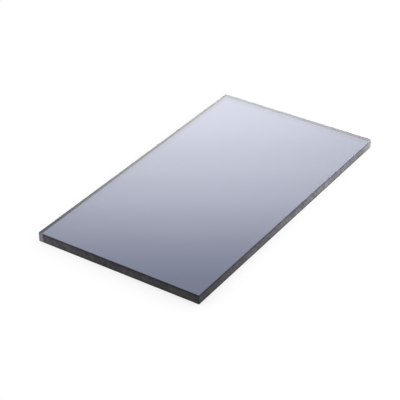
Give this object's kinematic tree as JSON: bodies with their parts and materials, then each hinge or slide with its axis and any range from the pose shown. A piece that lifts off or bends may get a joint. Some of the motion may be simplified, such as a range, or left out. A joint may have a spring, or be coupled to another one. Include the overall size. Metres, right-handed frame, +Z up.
{
  "type": "polycarbonate sheet",
  "caption": "Flat rectangular piece of solid, smoke-grey tinted polycarbonate sheet with clear polished faces and sawn edges, each lightly bevelled.",
  "frame": {"origin": "middle of the underside, where the sheet lies on the floor", "axes": "+Z up through the thickness, +X along the length, +Y across the width"},
  "size_m": [0.2, 0.11, 0.006],
  "materials": {
    "smoke_polycarbonate": "polished"
  },
  "bodies": {
    "root": {"polycarbonate_sheet": "smoke_polycarbonate"}
  },
  "joints": []
}
